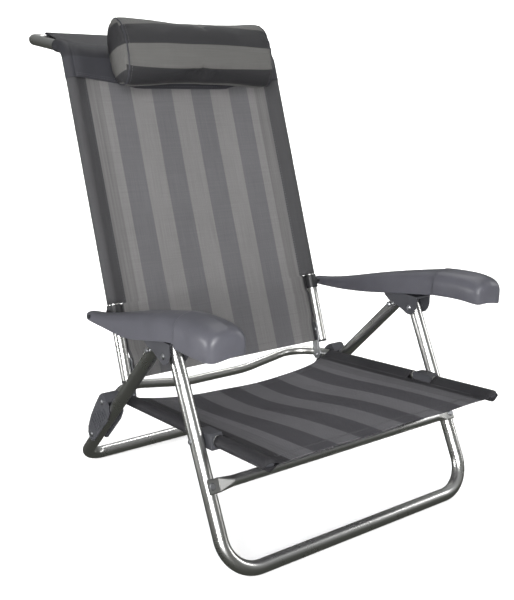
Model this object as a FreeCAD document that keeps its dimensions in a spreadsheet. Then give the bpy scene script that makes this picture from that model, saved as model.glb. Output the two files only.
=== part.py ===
import FreeCAD, Part
import math, os, sys
import Sketcher

# Low folding beach chair: two U-shaped legs, a sling seat and a sling back
# that reclines, with armrests carried on the back tubes.
# Right of the sitter is -X, the sitter faces -Y, +Z is up.
V = FreeCAD.Vector
doc = FreeCAD.newDocument("beach_chair")
sheet = doc.addObject("Spreadsheet::Sheet", "Sheet")

DIM = [
    ("y_shift", 396.29),          # moves the design frame to the box centre
    ("leg_radius", 12.5), ("tube_wall", 1.5),
    ("front_half_width", 283.0), ("rear_half_width", 289.0),
    ("leg_bend", 62.0), ("rear_bend", 48.0),
    ("front_tilt", 26.4), ("front_length", 388.5),
    ("rear_tilt", 45.0), ("rear_length", 480.0), ("rear_foot_y", 556.5),
    ("apex_y", 168.0), ("apex_z", 348.0),        # front leg pivot
    ("seatpin_y", 102.475), ("seatpin_z", 216.0),  # seat rail pivot
    ("hinge_y", 418.0), ("hinge_z", 185.0),      # seat, link and back hinge
    ("link_y", 470.0), ("link_z", 99.0),         # link pivot on the rear leg
    ("clamp_y", 464.0), ("clamp_z", 347.0),      # armrest pivot on the back
    ("rackpin_y", 186.0), ("rackpin_z", 380.0),
    ("bar_radius", 9.0), ("bar_height", 145.8), ("screw_radius", 2.9),
    ("rivet_radius", 3.0), ("rivet_head", 5.6), ("rivet_dome", 2.2), ("pin_gap", 0.05),
    ("rail_radius", 9.5), ("rail_half_width", 257.0), ("rail_front", 484.0), ("rail_bend", 62.0), ("cross_back", 68.0), ("cross_dip", 17.0),
    ("back_radius", 11.0), ("back_half_width", 249.0), ("back_tilt", 19.65),
    ("back_foot_y", 418.0), ("back_foot_z", 219.0),
    ("back_rise", 674.0), ("back_bend", 36.0), ("top_y", 850.0), ("top_z", 878.4), ("top_bend", 42.0),
    ("plate_thickness", 3.0), ("plate_radius", 10.5),
    ("bracket_inner", 267.2), ("bracket_outer", 306.4), ("bracket_wall", 2.8), ("bracket_roof", 4.0),
    ("rackpin_radius", 4.0), ("clamp_pin_radius", 4.0),
    ("cheek_inner", 272.5), ("cheek_outer", 305.5), ("cheek_wall", 3.4), ("groove_depth", 13.3),
    ("block_inner", 246.5), ("block_outer", 269.5),
    ("sling_thickness", 3.0), ("seat_sling_half", 246.0), ("back_sling_half", 234.2),
    ("pillow_radius", 62.0), ("pillow_half", 194.0),
    ("rack_width", 12.0), ("rack_lift", 8.0), ("channel_half", 22.5),
]
D = {}
for i, (alias, value) in enumerate(DIM, start=1):
    sheet.set("A%d" % i, alias)
    sheet.set("B%d" % i, "%s" % value)
    sheet.setAlias("B%d" % i, alias)
    D[alias] = float(value)
doc.recompute()
Y0 = D["y_shift"]


def g(alias):
    return float(sheet.get(alias))


def yz(y, z):
    return V(0, y - Y0, z)


NODES = []


def keep(obj, label):
    obj.Label = label
    NODES.append(obj)
    return obj


def plane(body, role):
    for f in body.Origin.OriginFeatures:
        if f.Role == role:
            return f
    raise RuntimeError("no plane " + role)


def new_body(name):
    return doc.addObject("PartDesign::Body", name + "_body")


def new_sketch(body, role, name, offset=None):
    sk = body.newObject("Sketcher::SketchObject", name)
    sk.AttachmentSupport = [(plane(body, role), "")]
    sk.MapMode = "FlatFace"
    if offset is not None:
        sk.AttachmentOffset = FreeCAD.Placement(V(0, 0, offset), FreeCAD.Rotation())
    return sk


def circle(sk, x, y, expr, fallback):
    # circle whose centre and radius are driven
    i = sk.addGeometry(Part.Circle(V(x, y, 0), V(0, 0, 1), fallback), False)
    c = sk.addConstraint(Sketcher.Constraint("Radius", i, fallback))
    sk.setExpression("Constraints[%d]" % c, expr)
    return i


def pin_point(sk, geo, pos, ex, ey, x, y):
    if abs(x) < 1e-9 and abs(y) < 1e-9:
        sk.addConstraint(Sketcher.Constraint("Coincident", geo, pos, -1, 1))
        return
    if abs(x) < 1e-9:
        sk.addConstraint(Sketcher.Constraint("PointOnObject", geo, pos, -2))
    else:
        c = sk.addConstraint(Sketcher.Constraint("DistanceX", -1, 1, geo, pos, x))
        if ex:
            sk.setExpression("Constraints[%d]" % c, ex)
    if abs(y) < 1e-9:
        sk.addConstraint(Sketcher.Constraint("PointOnObject", geo, pos, -1))
    else:
        c = sk.addConstraint(Sketcher.Constraint("DistanceY", -1, 1, geo, pos, y))
        if ey:
            sk.setExpression("Constraints[%d]" % c, ey)


def polygon(sk, pts):
    n = len(pts)
    ids = []
    for i in range(n):
        a, b = pts[i], pts[(i + 1) % n]
        ids.append(sk.addGeometry(Part.LineSegment(V(a[0], a[1], 0), V(b[0], b[1], 0)), False))
    for i in range(n):
        sk.addConstraint(Sketcher.Constraint("Coincident", ids[i], 2, ids[(i + 1) % n], 1))
    return ids


def u_tube(label, half, length, bend, radius, wall, half_e, length_e, bend_e, radius_e, wall_e):
    # U tube in the body's XZ plane, bar on the X axis, legs along +Z
    b = new_body(label)
    path = new_sketch(b, "XZ_Plane", label + "_path")
    k = bend
    l0 = path.addGeometry(Part.LineSegment(V(-half, length, 0), V(-half, k, 0)), False)
    l1 = path.addGeometry(Part.LineSegment(V(-half + k, 0, 0), V(half - k, 0, 0)), False)
    l2 = path.addGeometry(Part.LineSegment(V(half, k, 0), V(half, length, 0)), False)
    a0 = path.addGeometry(Part.ArcOfCircle(Part.Circle(V(-half + k, k, 0), V(0, 0, 1), k), math.pi, 1.5 * math.pi), False)
    a1 = path.addGeometry(Part.ArcOfCircle(Part.Circle(V(half - k, k, 0), V(0, 0, 1), k), 1.5 * math.pi, 2 * math.pi), False)
    path.addConstraint(Sketcher.Constraint("Tangent", l0, 2, a0, 1))
    path.addConstraint(Sketcher.Constraint("Tangent", a0, 2, l1, 1))
    path.addConstraint(Sketcher.Constraint("Tangent", l1, 2, a1, 1))
    path.addConstraint(Sketcher.Constraint("Tangent", a1, 2, l2, 1))
    path.addConstraint(Sketcher.Constraint("Vertical", l0))
    path.addConstraint(Sketcher.Constraint("Vertical", l2))
    path.addConstraint(Sketcher.Constraint("PointOnObject", l1, 1, -1))
    path.addConstraint(Sketcher.Constraint("Equal", a0, a1))
    path.addConstraint(Sketcher.Constraint("Symmetric", l0, 1, l2, 2, -2))
    c = path.addConstraint(Sketcher.Constraint("DistanceX", -1, 1, l2, 2, half))
    path.setExpression("Constraints[%d]" % c, half_e)
    c = path.addConstraint(Sketcher.Constraint("DistanceY", -1, 1, l2, 2, length))
    path.setExpression("Constraints[%d]" % c, length_e)
    c = path.addConstraint(Sketcher.Constraint("Radius", a0, k))
    path.setExpression("Constraints[%d]" % c, bend_e)
    prof = new_sketch(b, "XY_Plane", label + "_profile")
    prof.AttachmentOffset = FreeCAD.Placement(V(-half, 0, length), FreeCAD.Rotation())
    prof.setExpression("AttachmentOffset.Base.x", "-(%s)" % half_e)
    prof.setExpression("AttachmentOffset.Base.z", length_e)
    for r, e in ((radius, radius_e), (radius - wall, "%s - %s" % (radius_e, wall_e))):
        i = circle(prof, 0, 0, e, r)
        prof.addConstraint(Sketcher.Constraint("Coincident", i, 3, -1, 1))
    pipe = b.newObject("PartDesign::AdditivePipe", label + "_pipe")
    pipe.Profile = prof
    pipe.Spine = (path, [])
    path.Visibility = False
    doc.recompute()
    return b


def cross_holes(b, label, items):
    # round holes along X through the whole body; items: (y, z, radius expr, radius)
    sk = new_sketch(b, "YZ_Plane", label)
    for y, z, e, r in items:
        i = circle(sk, y, z, e, r)
        pin_point(sk, i, 3, None, None, y, z)
    before = b.Shape.Volume
    p = b.newObject("PartDesign::Pocket", label + "_cut")
    p.Profile = sk
    p.Type = "ThroughAll"
    p.Midplane = True
    doc.recompute()
    if not b.Shape.Volume < before - 1.0:
        raise RuntimeError(label + " cuts nothing")
    return p


def side_pad(b, name, pts, x0, x1, e0=None, e1=None):
    # outline in the YZ plane, padded from x0 to x1
    sk = new_sketch(b, "YZ_Plane", name, x0)
    if e0:
        sk.setExpression("AttachmentOffset.Base.z", e0)
    polygon(sk, pts)
    p = b.newObject("PartDesign::Pad", name + "_pad")
    p.Profile = sk
    p.Length = x1 - x0
    if e0 and e1:
        p.setExpression("Length", "(%s) - (%s)" % (e1, e0))
    doc.recompute()
    return p


def side_cut(b, name, pts, x0, x1):
    sk = new_sketch(b, "YZ_Plane", name, x0)
    polygon(sk, pts)
    before = b.Shape.Volume
    p = b.newObject("PartDesign::Pocket", name + "_cut")
    p.Profile = sk
    p.Length = x1 - x0
    p.Reversed = True
    doc.recompute()
    if not b.Shape.Volume < before - 1.0:
        p.Reversed = False
        doc.recompute()
    if not b.Shape.Volume < before - 1.0:
        raise RuntimeError(name + " cuts nothing")
    return p


def mirrored(label, source):
    m = doc.addObject("Part::Mirroring", label + "_mirror")
    m.Source = source
    m.Normal = (1, 0, 0)
    m.Base = (0, 0, 0)
    keep(m, label)
    return m


def xcyl(name, x0, x1, y, z, radius_e):
    c = doc.addObject("Part::Cylinder", name)
    c.setExpression("Radius", radius_e)
    c.Height = abs(x1 - x0)
    c.Placement = FreeCAD.Placement(V(min(x0, x1), y - Y0, z), FreeCAD.Rotation(V(0, 1, 0), 90))
    return c


def xcone(name, x, y, z, outward, base_e, height_e):
    # low frustum head, wide side at x
    c = doc.addObject("Part::Cone", name)
    c.setExpression("Radius1", base_e)
    c.setExpression("Radius2", "(%s) * 0.55" % base_e)
    c.setExpression("Height", height_e)
    c.Placement = FreeCAD.Placement(V(x, y - Y0, z), FreeCAD.Rotation(V(0, 1, 0), 90 if outward > 0 else -90))
    return c


def rivet(name, x0, x1, y, z, heads=(True, True), radius_e="Sheet.rivet_radius", head_e="Sheet.rivet_head",
          dome_e="Sheet.rivet_dome"):
    # shank between x0 and x1 with a head on the outer side(s)
    lo, hi = min(x0, x1), max(x0, x1)
    parts = [xcyl(name + "_shank", lo, hi, y, z, radius_e)]
    if heads[0]:
        parts.append(xcone(name + "_head_a", lo, y, z, -1, head_e, dome_e))
    if heads[1]:
        parts.append(xcone(name + "_head_b", hi, y, z, 1, head_e, dome_e))
    f = doc.addObject("Part::MultiFuse", name)
    f.Shapes = parts
    f.Refine = True
    return f


def group(label, objs):
    c = doc.addObject("Part::Compound", label + "_set")
    c.Links = objs
    keep(c, label)
    return c


AY, AZ = D["apex_y"], D["apex_z"]
PY, PZ = D["seatpin_y"], D["seatpin_z"]
HY, HZ = D["hinge_y"], D["hinge_z"]
LY, LZ = D["link_y"], D["link_z"]
CY, CZ = D["clamp_y"], D["clamp_z"]
KY, KZ = D["rackpin_y"], D["rackpin_z"]
R = D["leg_radius"]

# ---------------------------------------------------------------- front leg
# local frame: bar on X, legs along Z; the pivot line is apex - foot
ft = math.radians(D["front_tilt"])
foot_y = AY - (AZ - R) * math.tan(ft)      # y of the floor bar axis
leg_a = (AZ - R) / math.cos(ft)            # apex along the leg
leg_p = (PZ - R) / math.cos(ft)            # seat pivot along the leg
bar_s = (D["bar_height"] - R) / math.cos(ft)
front = u_tube("front_leg", D["front_half_width"], D["front_length"], D["leg_bend"], R, D["tube_wall"],
               "Sheet.front_half_width", "Sheet.front_length", "Sheet.leg_bend", "Sheet.leg_radius", "Sheet.tube_wall")
cross_holes(front, "front_leg_holes", [(0.0, leg_a, "Sheet.rivet_radius", D["rivet_radius"]),
                                       (0.0, leg_p, "Sheet.rivet_radius", D["rivet_radius"])])
front.Placement = FreeCAD.Placement(V(0, foot_y - Y0, R), FreeCAD.Rotation(V(1, 0, 0), -D["front_tilt"]))
keep(front, "front_leg")

# ---------------------------------------------------------------- front crossbar
# round tube lying on the front faces of the legs, its ends pressed flat
bar_w = D["front_half_width"] + 7.0
off = R + 2.2
bar = new_body("front_crossbar")
flat = 46.0


def oval(sk, hw, hh):
    a = sk.addGeometry(Part.LineSegment(V(-hw + hh, hh, 0), V(hw - hh, hh, 0)), False)
    b_ = sk.addGeometry(Part.LineSegment(V(hw - hh, -hh, 0), V(-hw + hh, -hh, 0)), False)
    r_ = sk.addGeometry(Part.ArcOfCircle(Part.Circle(V(hw - hh, 0, 0), V(0, 0, 1), hh), -math.pi / 2, math.pi / 2), False)
    l_ = sk.addGeometry(Part.ArcOfCircle(Part.Circle(V(-hw + hh, 0, 0), V(0, 0, 1), hh), math.pi / 2, 1.5 * math.pi), False)
    sk.addConstraint(Sketcher.Constraint("Coincident", a, 2, r_, 2))
    sk.addConstraint(Sketcher.Constraint("Coincident", r_, 1, b_, 1))
    sk.addConstraint(Sketcher.Constraint("Coincident", b_, 2, l_, 2))
    sk.addConstraint(Sketcher.Constraint("Coincident", l_, 1, a, 1))


secs = []
for x, hw, hh in ((-bar_w, 12.4, 2.0), (-bar_w + 20.0, 12.4, 2.0), (-bar_w + flat, 9.4, 9.0),
                  (bar_w - flat, 9.4, 9.0), (bar_w - 20.0, 12.4, 2.0), (bar_w, 12.4, 2.0)):
    sk = new_sketch(bar, "YZ_Plane", "bar_section", x)
    sk.AttachmentOffset = FreeCAD.Placement(V(0, 0, x), FreeCAD.Rotation(V(0, 0, 1), 90))
    oval(sk, hw, hh)
    secs.append(sk)
loft = bar.newObject("PartDesign::AdditiveLoft", "bar_loft")
loft.Profile = secs[0]
loft.Sections = secs[1:]
loft.Ruled = True
doc.recompute()
scr = new_sketch(bar, "XZ_Plane", "bar_screw_holes")
for sx in (-1, 1):
    i = circle(scr, sx * D["front_half_width"], 0.0, "Sheet.screw_radius", D["screw_radius"])
    pin_point(scr, i, 3, None, None, sx * D["front_half_width"], 0.0)
vol = bar.Shape.Volume
sc = bar.newObject("PartDesign::Pocket", "bar_screw_cut")
sc.Profile = scr
sc.Type = "ThroughAll"
sc.Midplane = True
doc.recompute()
if not bar.Shape.Volume < vol - 1.0:
    raise RuntimeError("bar screw holes cut nothing")
bar_c = V(0, foot_y + bar_s * math.sin(ft) - off * math.cos(ft) - Y0, R + bar_s * math.cos(ft) + off * math.sin(ft))
bar.Placement = FreeCAD.Placement(bar_c, FreeCAD.Rotation(V(1, 0, 0), -D["front_tilt"]))
keep(bar, "front_crossbar")

screws = []
for n, sx in (("right", -1), ("left", 1)):
    sh = doc.addObject("Part::Cylinder", "bar_screw_shank_" + n)
    sh.setExpression("Radius", "Sheet.screw_radius")
    sh.Height = 4.2
    hd = doc.addObject("Part::Cone", "bar_screw_head_" + n)
    hd.Radius1 = 6.2
    hd.Radius2 = 4.4
    hd.Height = 2.6
    d = V(0, -math.cos(ft), math.sin(ft))
    base = bar_c + V(sx * D["front_half_width"], 0, 0)
    rot = FreeCAD.Rotation(V(0, 0, 1), d)
    sh.Placement = FreeCAD.Placement(base - d * 2.1, rot)
    hd.Placement = FreeCAD.Placement(base + d * 2.05, rot)
    f = doc.addObject("Part::MultiFuse", "bar_screw_" + n)
    f.Shapes = [sh, hd]
    f.Refine = True
    screws.append(f)
group("crossbar_screws", screws)

# ---------------------------------------------------------------- rear leg
rear = u_tube("rear_leg", D["rear_half_width"], D["rear_length"], D["rear_bend"], R, D["tube_wall"],
              "Sheet.rear_half_width", "Sheet.rear_length", "Sheet.rear_bend", "Sheet.leg_radius", "Sheet.tube_wall")
link_s = (LZ - R) * math.sqrt(2.0)
fix_s = D["rear_length"] - 14.0
cross_holes(rear, "rear_leg_holes", [(0.0, link_s, "Sheet.rivet_radius", D["rivet_radius"]),
                                     (0.0, fix_s, "Sheet.rivet_radius", D["rivet_radius"])])
rear.Placement = FreeCAD.Placement(V(0, D["rear_foot_y"] - Y0, R), FreeCAD.Rotation(V(1, 0, 0), D["rear_tilt"]))
keep(rear, "rear_leg")
fix_y = D["rear_foot_y"] - fix_s / math.sqrt(2.0)
fix_z = R + fix_s / math.sqrt(2.0)

# ---------------------------------------------------------------- leg brackets
bi, bo, bw = D["bracket_inner"], D["bracket_outer"], D["bracket_wall"]
outline = [(240, 362), (226, 352), (204, 347), (184, 339), (175, 334.5), (166, 333.5), (158, 337), (152, 344),
           (148, 354), (148, 374), (240, 374)]
br = new_body("bracket_left")
side_pad(br, "bracket_outline", [(y - Y0, z) for y, z in outline], bi, bo, "Sheet.bracket_inner", "Sheet.bracket_outer")
side_cut(br, "bracket_slot", [(y - Y0, z) for y, z in [(120, 300), (260, 300), (260, 370), (120, 370)]], bi + bw, bo - bw)
# neck with the rack pin bore
side_pad(br, "bracket_neck", [(y - Y0, z) for y, z in [(174, 372), (198, 372), (196, 384), (192, 386), (180, 386), (176, 384)]],
         276.0, 298.0)
cross_holes(br, "bracket_bores", [(AY - Y0, AZ, "Sheet.rivet_radius + Sheet.pin_gap", D["rivet_radius"] + D["pin_gap"]),
                                  (fix_y - Y0, fix_z, "Sheet.rivet_radius", D["rivet_radius"]),
                                  (KY - Y0, KZ, "Sheet.rackpin_radius", D["rackpin_radius"])])
keep(br, "bracket_left")
mirrored("bracket_right", br)

xr0, xr1 = bi, bo
rv, fp, rp = [], [], []
for n, s in (("right", -1), ("left", 1)):
    rv.append(rivet("bracket_rivet_" + n, s * bi, s * bo, fix_y, fix_z))
    fp.append(rivet("front_pivot_rivet_" + n, s * (bi - 0.3), s * (bo + 0.3), AY, AZ))
    rp.append(xcyl("rack_pin_" + n, s * 271.0, s * 303.0, KY, KZ, "Sheet.rackpin_radius"))
group("bracket_rivets", rv)
group("front_pivot_rivets", fp)
group("rack_pins", rp)

# seat pivot rivets: through the front leg, the inner end free next to the pivot block
sp = []
fh = D["front_half_width"]
for n, s in (("right", -1), ("left", 1)):
    sp.append(rivet("seat_pivot_rivet_" + n, s * (fh - R + 0.2), s * (fh + R), PY, PZ, (s < 0, s > 0)))
group("seat_pivot_rivets", sp)

# ---------------------------------------------------------------- seat frame
# local frame: cross part on X, rails along local Z pointing forward
slope = math.atan2(PZ - HZ, HY - PY)
# local z -> forward along the rail, local y -> up normal
zdir = V(0, -math.cos(slope), math.sin(slope))
up = V(0, math.sin(slope), math.cos(slope))
rear_dir = zdir * -1


def rail_point(d, n=0.0):
    # d forward from the hinge along the rail, n above it
    return yz(HY, HZ) + zdir * d + up * n


def bent_wire(pts, radii):
    edges = []
    last = pts[0]
    for i in range(1, len(pts) - 1):
        p0, p1, p2 = pts[i - 1], pts[i], pts[i + 1]
        a = (p0 - p1).normalize()
        b_ = (p2 - p1).normalize()
        ang = a.getAngle(b_)
        tl = radii[i - 1] / math.tan(ang / 2)
        bis = (a + b_).normalize()
        cen = p1 + bis * (radii[i - 1] / math.sin(ang / 2))
        s_, e_ = p1 + a * tl, p1 + b_ * tl
        mid = cen - bis * radii[i - 1]
        edges.append(Part.LineSegment(last, s_).toShape())
        edges.append(Part.Arc(s_, mid, e_).toShape())
        last = e_
    edges.append(Part.LineSegment(last, pts[-1]).toShape())
    return Part.Wire(edges)


def pipe(wire, r_out, r_in, start, direction):
    def solid(r_):
        ring = Part.Wire([Part.Circle(start, direction, r_).toShape()])
        sh = wire.makePipeShell([ring], True, False)
        return sh if sh.ShapeType == "Solid" else Part.Solid(sh)
    out = solid(r_out)
    return out.cut(solid(r_in)) if r_in else out


# seat tube: two rails and a rear cross part that dips in the middle
rx = g("rail_half_width")
back_d, dip = -g("cross_back"), -g("cross_dip")
seat_route = [rail_point(g("rail_front")) + V(-rx, 0, 0), rail_point(back_d) + V(-rx, 0, 0),
              rail_point(back_d) + V(-188, 0, 0), rail_point(back_d, dip) + V(-78, 0, 0),
              rail_point(back_d, dip) + V(78, 0, 0), rail_point(back_d) + V(188, 0, 0),
              rail_point(back_d) + V(rx, 0, 0), rail_point(g("rail_front")) + V(rx, 0, 0)]
rail_wire = bent_wire(seat_route, [g("rail_bend"), 60.0, 300.0, 300.0, 60.0, g("rail_bend")])
rail_shape = pipe(rail_wire, g("rail_radius"), g("rail_radius") - g("tube_wall"), seat_route[0], zdir * -1)
bore = Part.makeCylinder(g("rivet_radius") + g("pin_gap"), 2 * rx + 60.0, yz(HY, HZ) + V(-rx - 30.0, 0, 0), V(1, 0, 0))
before = rail_shape.Volume
rail_shape = rail_shape.cut(bore)
if not rail_shape.Volume < before - 1.0:
    raise RuntimeError("seat frame bores cut nothing")
rails = doc.addObject("Part::Feature", "seat_frame_shape")
rails.Shape = rail_shape
rails.Placement = FreeCAD.Placement()
keep(rails, "seat_frame")
print("seat tube length %.0f, volume over section times length %.4f" % (
    rail_wire.Length, rail_shape.Volume / (math.pi * (g("rail_radius") ** 2 - (g("rail_radius") - g("tube_wall")) ** 2) * rail_wire.Length)))


# plugs in the front ends of the rails
plugs = []
for n, s in (("right", -1), ("left", 1)):
    a = doc.addObject("Part::Cylinder", "plug_stem_" + n)
    a.setExpression("Radius", "Sheet.rail_radius - Sheet.tube_wall - 0.05")
    a.Height = 14.0
    b_ = doc.addObject("Part::Cone", "plug_cap_" + n)
    b_.setExpression("Radius1", "Sheet.rail_radius")
    b_.setExpression("Radius2", "Sheet.rail_radius - 2")
    b_.Height = 4.0
    base = rail_point(D["rail_front"]) + V(s * D["rail_half_width"], 0, 0)
    r_ = FreeCAD.Rotation(V(0, 0, 1), zdir)
    a.Placement = FreeCAD.Placement(base - zdir * 13.95, r_)
    b_.Placement = FreeCAD.Placement(base + zdir * 0.02, r_)
    f = doc.addObject("Part::MultiFuse", "rail_plug_" + n)
    f.Shapes = [a, b_]
    plugs.append(f)
group("rail_plugs", plugs)

# pivot blocks: plastic sleeves on the rails beside the front legs
pb = new_body("pivot_block_left")
sk = new_sketch(pb, "YZ_Plane", "pivot_block_outline", D["block_inner"])
sk.setExpression("AttachmentOffset.Base.z", "Sheet.block_inner")
polygon(sk, [(-26, -14.5), (20, -14.5), (24, -9), (24, 9), (19, 12.5), (-21, 12.5), (-26, 8)])
p = pb.newObject("PartDesign::Pad", "pivot_block_pad")
p.Profile = sk
p.Length = D["block_outer"] - D["block_inner"]
p.setExpression("Length", "Sheet.block_outer - Sheet.block_inner")
doc.recompute()
sk = new_sketch(pb, "XZ_Plane", "pivot_block_bore")
i = circle(sk, D["rail_half_width"], 0.0, "Sheet.rail_radius + 0.03", D["rail_radius"] + 0.03)
pin_point(sk, i, 3, "Sheet.rail_half_width", None, D["rail_half_width"], 0.0)
vol = pb.Shape.Volume
p = pb.newObject("PartDesign::Pocket", "pivot_block_cut")
p.Profile = sk
p.Type = "ThroughAll"
p.Midplane = True
doc.recompute()
if not pb.Shape.Volume < vol - 1.0:
    raise RuntimeError("pivot block bore cuts nothing")
dp = math.hypot(HY - PY, PZ - HZ)
pb.Placement = FreeCAD.Placement(rail_point(dp), FreeCAD.Rotation(V(1, 0, 0), -math.degrees(slope)))
keep(pb, "pivot_block_left")
mirrored("pivot_block_right", pb)

# seat sling between the rails: thin closed solid with a shallow sag
sag = [(0.0, 0.0)]
body = new_body("seat_sling")
t = D["sling_thickness"]
d0, d1 = 22.0, D["rail_front"] - 2.0
st = new_sketch(body, "XY_Plane", "seat_sling_outline")
sh_ = D["seat_sling_half"]
lines = polygon(st, [(-sh_, d0), (sh_, d0), (sh_, d1), (-sh_, d1)])
for ln in (0, 2):
    st.addConstraint(Sketcher.Constraint("Horizontal", lines[ln]))
for ln in (1, 3):
    st.addConstraint(Sketcher.Constraint("Vertical", lines[ln]))
pin_point(st, lines[1], 1, "Sheet.seat_sling_half", None, sh_, d0)
pin_point(st, lines[3], 1, "-Sheet.seat_sling_half", None, -sh_, d1)
p = body.newObject("PartDesign::Pad", "seat_sling_pad")
p.Profile = st
p.setExpression("Length", "Sheet.sling_thickness")
p.Midplane = True
doc.recompute()
# local y forward, local z up
body.Placement = FreeCAD.Placement(yz(HY, HZ), FreeCAD.Rotation(V(-1, 0, 0), zdir, up, "YZX"))
keep(body, "seat_sling")

# ---------------------------------------------------------------- link blocks
q = math.sqrt(0.5)


def leg_yz(u, n):
    # u down along the rear leg from the link pivot, n square to it, up and back
    return (LY + (u + n) * q - Y0, LZ + (n - u) * q)


ci, co, cw = D["cheek_inner"], D["cheek_outer"], D["cheek_wall"]
lk = new_body("link_block_left")
shape = [(-117, 31), (-117, 8), (-106, -7), (-84, -12.5), (4, -12.5), (13, -8), (16, 2), (13, 13), (2, 21), (-28, 30),
         (-66, 36), (-98, 39), (-111, 37)]
side_pad(lk, "link_outline", [leg_yz(*a) for a in shape], ci, co, "Sheet.cheek_inner", "Sheet.cheek_outer")
side_cut(lk, "link_groove", [leg_yz(*a) for a in [(-140, -40), (40, -40), (40, D["groove_depth"]), (-140, D["groove_depth"])]],
         ci + cw, co - cw)
side_cut(lk, "link_relief", [leg_yz(*a) for a in [(-24, 10), (40, 10), (40, 50), (-24, 50)]], ci + cw, co - cw)
# ribs showing on the outer cheek
for k_ in range(7):
    u_ = -96.0 + 11.0 * k_
    n1 = 22.0 if abs(u_ + 97.6) > 14 else 10.0
    side_pad(lk, "link_rib_%d" % k_, [leg_yz(*a) for a in [(u_, -6), (u_ + 2.2, -6), (u_ + 2.2, n1), (u_, n1)]],
             co - 0.2, co + 1.2)
side_pad(lk, "link_boss", [leg_yz(-97.6 + 9.0 * math.cos(a * math.pi / 8), 24.0 + 9.0 * math.sin(a * math.pi / 8)) for a in range(16)],
         ci - 1.6, ci + 0.2)
cross_holes(lk, "link_bores", [(LY - Y0, LZ, "Sheet.rivet_radius + Sheet.pin_gap", D["rivet_radius"] + D["pin_gap"]),
                               (HY - Y0, HZ, "Sheet.rivet_radius", D["rivet_radius"])])
keep(lk, "link_block_left")
mirrored("link_block_right", lk)
lr, hp = [], []
for n, s in (("right", -1), ("left", 1)):
    lr.append(rivet("link_rivet_" + n, s * (ci - 0.3), s * (co + 0.3), LY, LZ))
    lo_, hi_ = s * (ci - 3.4), s * co
    hp.append(rivet("link_hinge_rivet_" + n, lo_, hi_, HY, HZ, (s < 0, s > 0)))
group("link_rivets", lr)
group("link_hinge_rivets", hp)

# ---------------------------------------------------------------- back frame
bt = math.radians(D["back_tilt"])
bdir = V(0, math.sin(bt), math.cos(bt))
bup = V(0, -math.cos(bt), math.sin(bt))      # square to the back, towards the sitter
b0 = yz(D["back_foot_y"], D["back_foot_z"])


bh = g("back_half_width")
corner = b0 + bdir * g("back_rise")
topc = yz(g("top_y"), g("top_z"))
route = []
route.append(b0 + V(-bh, 0, 0))
route.append(corner + V(-bh, 0, 0))
route.append(topc + V(-bh, 0, 0))
route.append(topc + V(bh, 0, 0))
route.append(corner + V(bh, 0, 0))
route.append(b0 + V(bh, 0, 0))
wire = bent_wire(route, [g("back_bend"), g("top_bend"), g("top_bend"), g("back_bend")])
bshape = pipe(wire, g("back_radius"), g("back_radius") - g("tube_wall"), route[0], bdir)
# the clamp rings close round the plain back tubes
bf = doc.addObject("Part::Feature", "back_frame_shape")
bf.Shape = bshape
bf.Placement = FreeCAD.Placement()
keep(bf, "back_frame")

# end caps on the lower ends of the back tubes, slotted for the hinge plates
ury, urz = 413.5, 209.5       # upper plate rivet
caps = []
for n, s in (("right", -1), ("left", 1)):
    a = doc.addObject("Part::Cylinder", "cap_skirt_" + n)
    a.setExpression("Radius", "Sheet.back_radius")
    a.Height = 5.0
    stem = doc.addObject("Part::Cylinder", "cap_stem_" + n)
    stem.setExpression("Radius", "Sheet.back_radius - Sheet.tube_wall - 0.05")
    stem.Height = 16.0
    a.Placement = FreeCAD.Placement(b0 + V(s * bh, 0, 0) - bdir * 5.02, FreeCAD.Rotation(V(0, 0, 1), bdir))
    stem.Placement = FreeCAD.Placement(b0 + V(s * bh, 0, 0) - bdir * 4.0, FreeCAD.Rotation(V(0, 0, 1), bdir))
    f = doc.addObject("Part::MultiFuse", "cap_" + n)
    f.Shapes = [a, stem]
    caps.append(f)
group("back_end_caps", caps)

# hinge plates on the inner side of the back tubes
pt = D["plate_thickness"]
px1 = bh - D["back_radius"] - 0.05
px0 = px1 - pt
hpl = new_body("hinge_plate_left")
sk = new_sketch(hpl, "YZ_Plane", "plate_outline", px0)
ax_top = b0 + bdir * 34.0
dirp = (ax_top - yz(HY, HZ)).normalize()
nrm = V(0, -dirp.z, dirp.y)
rp_ = D["plate_radius"]


def ring_pts(c, r_, a0, a1, n_):
    return [(c.y + r_ * math.cos(a0 + (a1 - a0) * i_ / n_), c.z + r_ * math.sin(a0 + (a1 - a0) * i_ / n_)) for i_ in range(n_ + 1)]


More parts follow.
